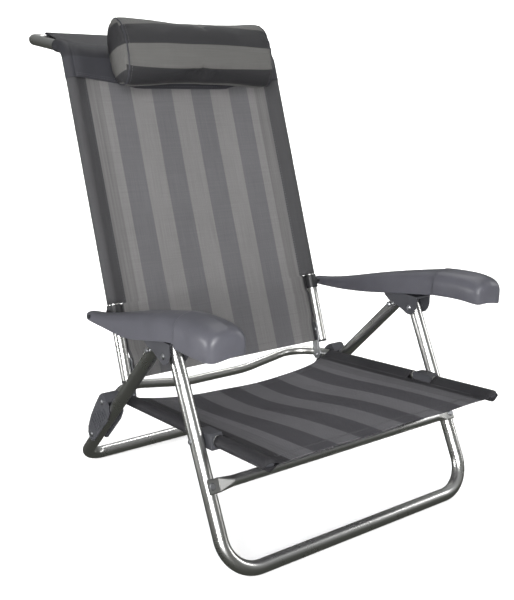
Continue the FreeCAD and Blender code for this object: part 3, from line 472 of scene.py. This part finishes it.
# ------------------------------------------------------------------ top casing over the head of the frame
TOP = (850.0, 878.4)
RD = Vector((0, 850.0 - (B0[0] + 674.0 * math.sin(BT)), 878.4 - (B0[1] + 674.0 * math.cos(BT)))).normalized()
BD = Vector((0, math.sin(BT), math.cos(BT)))
RN = Vector((0, -RD.z, RD.y))
TURN = BD.angle(RD)
TL = 36.0 * math.tan(TURN / 2)
corner = P(0, B0[0] + 674.0 * math.sin(BT), B0[1] + 674.0 * math.cos(BT)) * 1000.0
RUN = (P(0, *TOP) * 1000.0 - corner).length


def head_path(t):
    """Point and outward normal on the tube's centre plane, t mm from s = 600."""
    straight = 674.0 - TL - 600.0
    if t <= straight:
        p = back(0, 600.0 + t, 0) * 1000.0
        return p, BN.copy()
    t -= straight
    arc = 36.0 * TURN
    if t <= arc:
        a = t / 36.0
        cen = back(0, 674.0 - TL, -36.0) * 1000.0
        nn = (BN * math.cos(a) + BD * math.sin(a))
        return cen + nn * 36.0, nn
    t -= arc
    return corner + RD * (TL + t), RN.copy()


ARC_END = 674.0 - TL - 600.0 + 36.0 * TURN
BAR_AT = ARC_END + RUN - TL
CUP = 14.4
rows, uvr = [], []
XS = [i / 14.0 for i in range(-14, 15)]


def casing_row(t, w, n_mid, n_edge, curl, v, v_uv):
    row, uv = [], []
    for k in XS:
        x = k * w
        ax = abs(x)
        p, nn = head_path(t - 20.0 * min(1.0, max(0.0, 249.0 - ax) / 140.0) ** 2 * (1.0 - smooth((t - 10.0) / 34.0)))
        n = n_mid + (n_edge - n_mid) * smooth((ax - 190.0) / 52.0)
        if ax > 249.0:
            n -= curl * (1 - math.sqrt(max(0.0, 1 - min(1.0, (ax - 249.0) / 13.4) ** 2))) * 13.4
        q = p + nn * n
        row.append(Vector((x, q.y, q.z)) / 1000.0)
        uv.append((x / 1000.0, v_uv))
    rows.append(row)
    uvr.append(uv)


ts = [10.0, 12.0, 18.0, 26.0, 34.0, 42.0, 50.0, 56.0, 62.0, 68.0, 76.0, 84.0, 92.0]
for t in ts:
    casing_row(t, 262.2, 3.4 + 2.0 * smooth((t - 30) / 50.0), 12.9, 1.0, 0, t / 1000.0)
r0 = 92.0
length = BAR_AT - r0
for i in range(1, 13):
    f = i / 12.0
    t = r0 + length * f
    w = 262.2 - 55.0 * f ** 0.85
    mid = 5.4 + (CUP - 5.4) * smooth(f) - 3.0 * math.sin(math.pi * f)
    casing_row(t, w, mid, 12.9 + (CUP - 12.9) * f, 1.0 - f, 0, t / 1000.0)
topc = P(0, *TOP) * 1000.0
vv = BAR_AT
for i in range(1, 13):
    a = math.pi * 1.08 * i / 12.0
    nn = RN * math.cos(a) + RD * math.sin(a)
    q = topc + nn * CUP
    rows.append([Vector((k * 207.2, q.y, q.z)) / 1000.0 for k in XS])
    vv += CUP * math.pi * 1.08 / 12.0
    uvr.append([(k * 0.2072, vv / 1000.0) for k in XS])
for i, (b, n_) in enumerate(((8.0, -12.0), (18.0, -4.0), (28.0, 4.0), (40.0, 8.6))):
    q = topc - RD * (b + 8.0) + RN * n_
    rows.append([Vector((k * 206.4, q.y, q.z)) / 1000.0 for k in XS])
    vv += 11.5
    uvr.append([(k * 0.2064, vv / 1000.0) for k in XS])
casing = grid_mesh("top_casing", rows, EDGE_CLOTH, uvr, thick=0.0011)
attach(casing, "back")
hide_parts("top_panel")

# side cups: the casing's sleeves round the upper side tubes
for sgn, tag in ((-1, "right"), (1, "left")):
    crow, cuv = [], []
    for t in [10.0, 14.0, 20.0, 28.0, 36.0, 44.0, 50.0, 56.0, 62.0, 68.0, 74.0, 80.0, 86.0, 92.0, 98.0, 106.0, 114.0]:
        p, nn = head_path(t)
        row, uv = [], []
        for i in range(17):
            a = math.radians(122.0 - 250.0 * i / 16.0)
            x = 249.0 + 12.5 * math.cos(a)
            q = p + nn * (12.5 * math.sin(a))
            row.append(Vector((sgn * x, q.y, q.z)) / 1000.0)
            uv.append((0.25 + 0.0025 * i, t / 1000.0))
        crow.append(row)
        cuv.append(uv)
    cup = grid_mesh("casing_sleeve_" + tag, crow, EDGE_CLOTH, cuv, thick=0.0009)
    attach(cup, "back")

for k, t in enumerate((14.5, 18.0)):
    line = []
    for i in range(-24, 25):
        x = i * 10.2
        p, nn = head_path(t - 20.0 * min(1.0, max(0.0, 249.0 - abs(x)) / 140.0) ** 2 * (1.0 - smooth((t - 10.0) / 34.0)))
        n = 3.4 + (12.9 - 3.4) * smooth((abs(x) - 190.0) / 52.0) + 0.7
        q = p + nn * n
        line.append(Vector((x, q.y, q.z)) / 1000.0)
    st = stitches("casing_stitches_%d" % (k + 1), line, [BN] * len(line))
    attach(st, "back")

# ------------------------------------------------------------------ head pillow
PA, PB, PH = 78.0, 46.0, 190.0
PC_X, PC_S, PC_N = 15.0, 650.0, 49.0


def pillow_point(x, a, ka=1.0, kb=1.0):
    ca, sa = math.cos(a), math.sin(a)
    e = 0.92
    s = PA * ka * math.copysign(abs(sa) ** e, sa)
    n = PB * kb * math.copysign(abs(ca) ** e, ca)
    return back(x + PC_X, PC_S + s, PC_N + n)


def make_pillow():
    ring, cols = 56, []
    shrink = 6.0
    xs = [-(PH - shrink), -(PH - shrink) + 7.0] + [-(PH - shrink) + 7.0 + (2 * (PH - shrink) - 14.0) * i / 36.0 for i in range(1, 36)] + [PH - shrink - 7.0, PH - shrink]
    verts, faces = [], []
    k = (PA - shrink) / PA
    kb = (PB - shrink) / PB
    for j, x in enumerate(xs):
        end = 0.90 if j in (0, len(xs) - 1) else (1.0 - 0.05 * smooth(1.0 - (PH - abs(x)) / 34.0))
        for i in range(ring):
            verts.append(pillow_point(x, 2 * math.pi * i / ring, k * end, kb * end))
    for j in range(len(xs) - 1):
        for i in range(ring):
            i2 = (i + 1) % ring
            faces.append((j * ring + i, j * ring + i2, (j + 1) * ring + i2, (j + 1) * ring + i))
    for j, sgn in ((0, -1), (len(xs) - 1, 1)):
        prev = [j * ring + i for i in range(ring)]
        for f in (0.7, 0.4):
            cur = []
            for i in range(ring):
                cur.append(len(verts))
                verts.append(pillow_point(xs[j] + sgn * 3.0 * (1 - f), 2 * math.pi * i / ring, k * f, kb * f))
            for i in range(ring):
                i2 = (i + 1) % ring
                faces.append((prev[i], cur[i], cur[i2], prev[i2]) if sgn < 0 else (prev[i], prev[i2], cur[i2], cur[i]))
            prev = cur
        c = len(verts)
        verts.append(pillow_point(xs[j] + sgn * 3.0, 0.0, 0.0, 0.0))
        for i in range(ring):
            i2 = (i + 1) % ring
            faces.append((prev[i], c, prev[i2]) if sgn < 0 else (prev[i], prev[i2], c))
    return add_mesh("head_pillow_cover", verts, faces, PILLOW_CLOTH)


def inflate(o, voxel, frames, pressure, cap):
    r = o.modifiers.new("remesh", "REMESH")
    r.mode = "VOXEL"
    r.voxel_size = voxel
    apply_modifiers(o)
    rest = [v.co.copy() for v in o.data.vertices]
    cm = o.modifiers.new("cloth", "CLOTH")
    s = cm.settings
    s.quality = 5
    s.mass = 0.25
    s.tension_stiffness = s.compression_stiffness = 22.0
    s.shear_stiffness = 9.0
    s.bending_stiffness = 0.6
    s.use_pressure = True
    s.uniform_pressure_force = pressure
    s.effector_weights.gravity = 0.0
    cm.point_cache.frame_start, cm.point_cache.frame_end = 1, frames
    SCENE.frame_start, SCENE.frame_end = 1, frames
    for f in range(1, frames + 1):
        SCENE.frame_set(f)
    bpy.context.view_layer.update()
    dg = bpy.context.evaluated_depsgraph_get()
    ev = o.evaluated_get(dg).data
    moved = [v.co.copy() for v in ev.vertices]
    o.modifiers.clear()
    SCENE.frame_set(1)
    for v, a, b in zip(o.data.vertices, rest, moved):
        d = b - a
        if d.length > cap:
            d *= cap / d.length
        v.co = a + d
    o.data.update()
    return o


pillow = make_pillow()
inflate(pillow, 0.005, 20, 4.0, 0.008)
# gathers that run in from the end seams, and the dimple along the length
for v in pillow.data.vertices:
    x = v.co.x * 1000.0 - PC_X
    p = v.co * 1000.0
    y, z = p.y + Y0 - B0[0], p.z - B0[1]
    s = y * math.sin(BT) + z * math.cos(BT) - PC_S
    n = -y * math.cos(BT) + z * math.sin(BT) - PC_N
    a = math.atan2(s, n)
    near = smooth(1.0 - (PH - abs(x)) / 42.0)
    pull = near * (1.3 * math.sin(13 * a + 1.3) + 0.9 * math.sin(29 * a)) - 1.5 * math.exp(-((abs(x) - (PH - 15.0)) / 4.5) ** 2)
    slack = 0.8 * math.sin(x / 47.0 + 1.1) * math.sin(2.0 * a + 0.5) + 0.5 * math.sin(x / 21.0)
    r = math.hypot(s, n)
    if r > 1.0 and abs(x) < PH + 2:
        k = (pull + slack) * (1.0 if abs(x) < PH - 4 else 0.35)
        ds, dn = s / r * k, n / r * k
        v.co = v.co + (BD * ds + BN * dn) / 1000.0
pillow.data.update()
sub = pillow.modifiers.new("finish", "SUBSURF")
sub.levels = sub.render_levels = 1
apply_modifiers(pillow)
for p in pillow.data.polygons:
    p.use_smooth = True
# cloth coordinates: bands run along the pillow, and carry on over the end panels
perim = [0.0]
_prev = None
for i in range(361):
    a = math.radians(i - 180)
    q = (PB * math.cos(a), PA * math.sin(a))
    if _prev:
        perim.append(perim[-1] + math.hypot(q[0] - _prev[0], q[1] - _prev[1]))
    _prev = q


def around(n, s):
    a = math.degrees(math.atan2(s / PA, n / PB)) + 180.0
    i = int(a)
    i = min(359, max(0, i))
    return perim[i] + (perim[i + 1] - perim[i]) * (a - i)


LIGHT_MID = around(math.sqrt(max(0.0, 1 - (22.0 / PA) ** 2)) * PB, -22.0)
layer = pillow.data.uv_layers.new(name="cloth")
me = pillow.data
for poly in me.polygons:
    end = abs(poly.normal.x) > 0.75
    us = []
    for li in poly.loop_indices:
        p = me.vertices[me.loops[li].vertex_index].co * 1000.0
        y, z = p.y + Y0 - B0[0], p.z - B0[1]
        s = y * math.sin(BT) + z * math.cos(BT) - PC_S
        n = -y * math.cos(BT) + z * math.sin(BT) - PC_N
        us.append((s + 22.0, n) if end else (around(n, s) - LIGHT_MID, p.x))
    if not end and max(q[0] for q in us) - min(q[0] for q in us) > 150.0:
        us = [(a + perim[-1] if a < -LIGHT_MID + 150 else a, b) for a, b in us]
    for li, q in zip(poly.loop_indices, us):
        layer.data[li].uv = (q[0] / 1000.0, q[1] / 1000.0)
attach(pillow, "back")
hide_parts("head_pillow")

bvh = BVHTree.FromObject(pillow, bpy.context.evaluated_depsgraph_get())
for sgn, tag in ((-1, "right"), (1, "left")):
    ring_pts, ring_n = [], []
    x = sgn * (PH - 15.0) + PC_X
    c = back(x, PC_S, PC_N)
    for i in range(96):
        a = 2 * math.pi * i / 96
        d = BD * math.sin(a) + BN * math.cos(a)
        hit, nn, _, _ = bvh.ray_cast(c + d * 0.13, -d)
        if hit is None:
            continue
        ring_pts.append(hit + nn * 0.0003)
        ring_n.append(nn)
    piping = tube_mesh("pillow_piping_" + tag, ring_pts, 0.0016, EDGE_CLOTH, sides=8, closed=True)
    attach(piping, "back")
    x = sgn * (PH - 20.0) + PC_X
    c = back(x, PC_S, PC_N)
    line, nns = [], []
    for i in range(97):
        a = 2 * math.pi * i / 96
        d = BD * math.sin(a) + BN * math.cos(a)
        hit, nn, _, _ = bvh.ray_cast(c + d * 0.13, -d)
        if hit is not None:
            line.append(hit)
            nns.append(nn)
    st = stitches("pillow_stitches_" + tag, line, nns)
    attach(st, "back")

# ------------------------------------------------------------------ seat sling
def seat_sag(x, d):
    across = 1.0 - min(1.0, abs(x) / 238.0) ** 2
    along = 15.0 * math.exp(-((d - 150.0) / 130.0) ** 2) + 4.0 * smooth((430.0 - d) / 200.0) + 1.5
    ripple = 0.8 * math.sin(x / 52.0 + d / 90.0) + 0.5 * math.sin(x / 27.0 - d / 130.0 + 1.0)
    edge = 0.9 * smooth((d - 440.0) / 40.0) * math.sin(x / 30.0)
    return -across * (along + ripple) + edge * across


sec = sleeve_section(257.0, 10.3, 20.0, 38.0, steps=18)
u_half = arc_lengths(sec)
full = [(-x, n, l, -u) for (x, n, l), u in zip(sec[:0:-1], u_half[:0:-1])] + [(x, n, l, u) for (x, n, l), u in zip(sec, u_half)]
layers = [l for x, n, l, u in full]
fx = [x for x, n, l, u in full]
CUT = (286.0, 347.0)
ds = [20.0, 24.0, 32.0, 40.0] + [50.0 + 11.8 * i for i in range(20)] + [CUT[0]] + [297.0, 309.0, 322.0, 335.0] + [CUT[1]] + [359.0 + 12.0 * i for i in range(9)] + [465.0, 474.0, 482.0, 486.5, 488.0, 489.2, 490.0]
ds = sorted(set(ds))
rows, uvr, row_d = [], [], []


def seat_d(x, d):
    # the free ends are cut hollow
    k = 1.0 - min(1.0, abs(x) / 238.0) ** 5
    f0 = 34.0 * k * (1.0 - smooth((d - 20.0) / 250.0))
    f1 = -4.0 * k * smooth((d - 380.0) / 110.0)
    return d + f0 + f1


def seat_row(d, dn):
    row = []
    shut = 1.0 - 0.72 * smooth((d - 486.5) / 3.5)
    for x, n, l, u in full:
        dd = seat_d(x, d) if l != 1 else d
        row.append(seat(x, dd, n * shut + dn + (seat_sag(x, dd) if l != 1 else 0.0)))
    rows.append(row)
    uvr.append([(u / 1000.0, (d if dn == 0 else d + 500.0) / 1000.0) for x, n, l, u in full])
    row_d.append(d)


for d, dn in ((42.0, -1.4), (30.0, -1.5), (21.5, -1.4), (19.6, -0.7)):
    seat_row(d, dn)
for d in ds[1:]:
    seat_row(d, 0.0)
for d, dn in ((490.4, -0.7), (488.5, -1.5), (478.0, -1.7), (464.0, -1.5)):
    seat_row(d, dn)


def drop_seat(j, i):
    mid = (row_d[j] + row_d[j + 1]) / 2
    ends = j < 4 or j >= len(row_d) - 5
    if ends and (layers[i] != 0 or layers[i + 1] != 0):
        return True
    if CUT[0] - 0.5 < mid < CUT[1] + 0.5:
        return layers[i] == 1 or layers[i + 1] == 1
    return False


seat_cloth = grid_mesh("seat_fabric", rows, SEAT_CLOTH_PAINTED_SHADE, uvr, drop_seat)
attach(seat_cloth, "seat")
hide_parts("seat_sling")
SN = Vector((0, math.sin(SLOPE), math.cos(SLOPE)))
for k, d in enumerate((462.0, 465.5)):
    line = [seat(x, seat_d(x, d), seat_sag(x, seat_d(x, d)) + 0.6) for x in range(-232, 233, 8)]
    st = stitches("seat_front_stitches_%d" % (k + 1), line, [SN] * len(line))
    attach(st, "seat")
line = [seat(x, seat_d(x, 42.0), seat_sag(x, seat_d(x, 42.0)) + 0.6) for x in range(-228, 229, 8)]
st = stitches("seat_rear_stitches", line, [SN] * len(line))
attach(st, "seat")
for sgn, tag in ((-1, "right"), (1, "left")):
    line = [seat(sgn * 234.5, d, seat_sag(234.5, d) + 0.6) for d in range(50, 460, 12)]
    st = stitches("seat_sleeve_stitches_" + tag, line, [SN] * len(line))
    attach(st, "seat")

# ------------------------------------------------------------------ armrests
# y, centre x, half width, top z, inner bottom z, outer bottom z; the crown is worked out from the half width
ARM_ST = [
    (487.0, 288.0, 10.0, 350.0, 338.6, 338.6), (484.5, 288.0, 13.2, 351.6, 336.8, 336.8), (474.0, 288.0, 14.4, 353.2, 336.4, 336.4),
    (452.0, 288.0, 15.8, 356.0, 337.4, 337.0), (415.0, 288.0, 18.0, 362.8, 340.0, 339.4), (370.0, 288.0, 20.4, 373.0, 344.0, 341.6),
    (325.0, 288.0, 22.8, 385.0, 350.0, 343.0), (285.0, 288.0, 24.8, 395.6, 356.0, 348.0), (245.0, 288.2, 26.6, 405.8, 363.5, 357.0),
    (205.0, 288.5, 28.4, 415.0, 370.5, 366.5), (165.0, 288.8, 29.6, 424.0, 377.5, 376.0), (130.0, 289.0, 30.4, 431.5, 383.5, 384.0),
    (108.0, 289.6, 31.2, 436.0, 387.5, 386.0), (100.6, 290.0, 31.8, 437.4, 388.6, 384.4), (98.8, 292.0, 35.8, 438.6, 389.4, 383.6), (95.0, 292.6, 37.0, 439.4, 390.0, 383.6),
    (72.0, 293.0, 37.2, 441.5, 392.0, 384.0), (48.0, 293.6, 37.6, 443.0, 394.0, 385.0), (24.0, 294.0, 37.6, 443.0, 394.5, 386.0),
    (8.0, 294.0, 37.0, 441.0, 393.5, 386.6), (-4.0, 294.0, 35.0, 438.0, 392.5, 387.0), (-10.5, 293.8, 31.0, 434.0, 392.5, 388.0),
    (-13.6, 293.6, 24.0, 429.5, 393.5, 389.5), (-14.8, 293.4, 12.0, 425.5, 395.0, 392.0),
]


def arm_contour(cx, hw, zt, zi, zo):
    """From the inner lower lip over the top to the outer lower lip."""
    h = zt - min(zi, zo)
    rr = min(hw * 0.75, h * 0.5)
    pts = [(-hw * 0.93, zi), (-hw * 0.985, zi + 2.2), (-hw, zi + (zt - rr - zi) * 0.5), (-hw, zt - rr)]
    for i in range(1, 6):
        a = math.pi - (math.pi / 2) * i / 6.0
        pts.append((-hw + rr + rr * math.cos(a), zt - rr + rr * math.sin(a)))
    crown = min(2.4, hw * 0.07)
    pts += [(-(hw - rr) * 0.6, zt + crown * 0.5), (0.0, zt + crown), ((hw - rr) * 0.6, zt + crown * 0.5)]
    for i in range(1, 6):
        a = math.pi / 2 - (math.pi / 2) * i / 6.0
        pts.append((hw - rr + rr * math.cos(a), zt - rr + rr * math.sin(a)))
    pts += [(hw, zt - rr), (hw, zo + (zt - rr - zo) * 0.5), (hw * 0.985, zo + 2.2), (hw * 0.93, zo)]
    return [(cx + x, z) for x, z in pts]


for sgn, tag in ((-1, "right"), (1, "left")):
    verts, faces = [], []
    nc = None
    for y, cx, hw, zt, zi, zo in ARM_ST:
        c = arm_contour(cx, hw, zt, zi, zo)
        nc = len(c)
        verts += [P(sgn * x, y, z) for x, z in c]
    nr = len(ARM_ST)
    for j in range(nr - 1):
        for i in range(nc - 1):
            f = (j * nc + i, (j + 1) * nc + i, (j + 1) * nc + i + 1, j * nc + i + 1)
            faces.append(f if sgn > 0 else tuple(reversed(f)))
    # rear and front ends
    for j, flip in ((0, True), (nr - 1, False)):
        base = j * nc
        half = nc // 2
        for i in range(half):
            k = nc - 1 - i
            if i + 1 > k - 1:
                break
            f = (base + i, base + i + 1, base + k - 1, base + k) if i + 1 < k - 1 else (base + i, base + i + 1, base + k)
            f = f if flip == (sgn > 0) else tuple(reversed(f))
            faces.append(f)
    o = add_mesh("armrest_shell_" + tag, verts, faces, ARM)
    so = o.modifiers.new("wall", "SOLIDIFY")
    so.thickness = 0.0032
    so.offset = -1.0
    so.use_rim = True
    su = o.modifiers.new("round", "SUBSURF")
    su.levels = su.render_levels = 2
    apply_modifiers(o)
    for p in o.data.polygons:
        p.use_smooth = True
    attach(o, "armrest_" + tag)
    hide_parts("armrest_" + tag)

def flat_area(o, thick):
    return sum(p.area for p in o.data.polygons) / 2.0


print("areas", [(o.name, round(flat_area(o, 0.001), 4)) for o in (back_cloth, seat_cloth, casing)])

# ------------------------------------------------------------------ stage
fm, fnt, fb = material("studio_floor")
_n = Net(fnt)
_co = _n.node("ShaderNodeTexCoord").outputs["Object"]
_n.link(_n.mix(_n.noise(_co, 3.0), (0.86, 0.86, 0.86), (0.9, 0.9, 0.895)), fb.inputs["Base Color"])
fb.inputs["Roughness"].default_value = 0.7
fb.inputs["Specular IOR Level"].default_value = 0.2
fb.inputs["Emission Color"].default_value = (1, 1, 1, 1)
fb.inputs["Emission Strength"].default_value = 0.55
pts, fcs = [], []
prof = [(-5.0, -0.0006), (0.0, -0.0006), (3.2, -0.0006)] + [(3.2 + 1.6 * math.sin(a), 1.6 - 1.6 * math.cos(a)) for a in [math.radians(9 * i) for i in range(1, 11)]] + [(4.8, 6.0)]
yaw = math.radians(35.8)
for y, z in prof:
    for x in (-7.0, 7.0):
        pts.append(Vector((x * math.cos(yaw) + y * math.sin(yaw), -x * math.sin(yaw) + y * math.cos(yaw), z)))
for j in range(len(prof) - 1):
    fcs.append((2 * j, 2 * j + 1, 2 * j + 3, 2 * j + 2))
floor = add_mesh("studio_sweep", pts, fcs, fm)
floor.visible_glossy = False

# a pale surround beyond the sweep, for side views; it gives no light and isn't reflected
dm, dnt, db = material("studio_surround")
db.inputs["Base Color"].default_value = (0, 0, 0, 1)
db.inputs["Specular IOR Level"].default_value = 0.0
db.inputs["Emission Color"].default_value = (0.97, 0.97, 0.97, 1)
db.inputs["Emission Strength"].default_value = 1.0
vs, fs, NU, NV = [], [], 32, 16
for j in range(NV + 1):
    el = math.pi * (j / NV - 0.5)
    for i in range(NU):
        az = 2 * math.pi * i / NU
        vs.append(Vector((14 * math.cos(el) * math.cos(az), 14 * math.cos(el) * math.sin(az), 14 * math.sin(el) + 0.5)))
for j in range(1, NV - 1):
    for i in range(NU):
        k = (i + 1) % NU
        fs.append((j * NU + i, j * NU + k, (j + 1) * NU + k, (j + 1) * NU + i))
surround = add_mesh("studio_surround", vs, fs, dm)
surround.visible_diffuse = surround.visible_glossy = surround.visible_transmission = surround.visible_shadow = False

world = bpy.data.worlds.new("studio")
SCENE.world = world
world.use_nodes = True
wn = Net(world.node_tree)
world.node_tree.nodes.clear()
wo = wn.node("ShaderNodeOutputWorld")
bg = wn.node("ShaderNodeBackground")
wn.link(bg.outputs[0], wo.inputs[0])
wc = wn.node("ShaderNodeTexCoord").outputs["Generated"]
sp = wn.node("ShaderNodeSeparateXYZ")
wn.link(wc, sp.inputs[0])
wn.link(wn.mix(wn.range(sp.outputs[2], -0.05, 0.75, 0.0, 1.0), (0.085, 0.088, 0.078), (0.42, 0.43, 0.43)), bg.inputs["Color"])
bg.inputs["Strength"].default_value = 0.6


def area(name, loc, target, sx, sy, power, color=(1, 1, 1)):
    d = bpy.data.lights.new(name, "AREA")
    d.shape = "RECTANGLE"
    d.size, d.size_y = sx, sy
    d.energy = power
    d.color = color
    o = bpy.data.objects.new(name, d)
    SCENE.collection.objects.link(o)
    o.location = loc
    o.rotation_euler = (Vector(target) - Vector(loc)).to_track_quat("-Z", "Y").to_euler()
    return o


area("key", (-2.0, -2.9, 1.5), (0, 0, 0.4), 2.1, 1.9, 88)
area("top", (0.2, 0.2, 3.0), (0, 0, 0.2), 1.8, 1.4, 11)
area("near_left", (-1.75, -1.75, 0.75), (-0.3, -0.35, 0.4), 0.4, 0.4, 13)
area("right_strip", (2.4, -1.4, 1.3), (0, 0, 0.4), 0.4, 1.8, 16)
area("low_left", (-2.6, 0.9, 0.5), (-0.2, 0.1, 0.3), 0.7, 0.9, 24)
area("back_wash", (1.2, 1.6, 3.2), (2.4, 3.6, 0.8), 2.5, 1.2, 130)

# ------------------------------------------------------------------ camera
CX, CY, CZ, YAW, PITCH, ROLL, FPX = -944.306, -984.808, 785.752, 35.702, 14.518, 0.671, 829.897
y_, t_, r_ = math.radians(YAW), math.radians(PITCH), math.radians(ROLL)
look = Vector((math.sin(y_) * math.cos(t_), math.cos(y_) * math.cos(t_), -math.sin(t_)))
right0 = Vector((math.cos(y_), -math.sin(y_), 0))
up0 = right0.cross(look)
right = right0 * math.cos(r_) + up0 * math.sin(r_)
upv = -right0 * math.sin(r_) + up0 * math.cos(r_)
cam = bpy.data.cameras.new("photo_view")
co = bpy.data.objects.new("photo_view", cam)
SCENE.collection.objects.link(co)
rot = Matrix((right, upv, -look)).transposed()
co.matrix_world = Matrix.Translation(P(CX, CY, CZ)) @ rot.to_4x4()
cam.lens = FPX * 36.0 / 600.0
cam.sensor_width = 36.0
cam.sensor_fit = "AUTO"
cam.clip_start, cam.clip_end = 0.05, 60.0
SCENE.camera = co
SCENE.view_settings.view_transform = "Standard"
SCENE.view_settings.look = "None"
